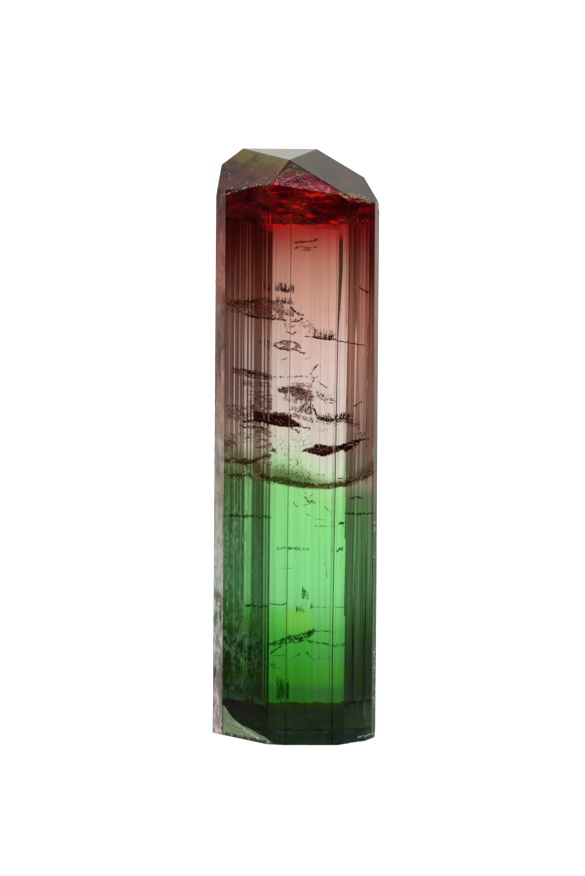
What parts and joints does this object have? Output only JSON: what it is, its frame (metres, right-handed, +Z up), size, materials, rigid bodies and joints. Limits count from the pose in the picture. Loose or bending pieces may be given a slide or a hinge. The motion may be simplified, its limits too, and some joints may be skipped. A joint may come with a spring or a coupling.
{
  "type": "watermelon tourmaline crystal",
  "caption": "Standing bicolour tourmaline prism, red through pink to green, with striated sides, a faceted top and a broken level base.",
  "frame": {"origin": "centre of the bottom of the bounding box, on the level broken base", "axes": "+Z up along the crystal, -Y the front (the widest flat prism face), +X to its right seen from the front"},
  "size_m": [0.0174, 0.0156, 0.0613],
  "materials": {
    "tourmaline": "clear, striated prism faces with broken matte edges"
  },
  "bodies": {
    "root": {"crystal": "tourmaline"}
  },
  "joints": []
}
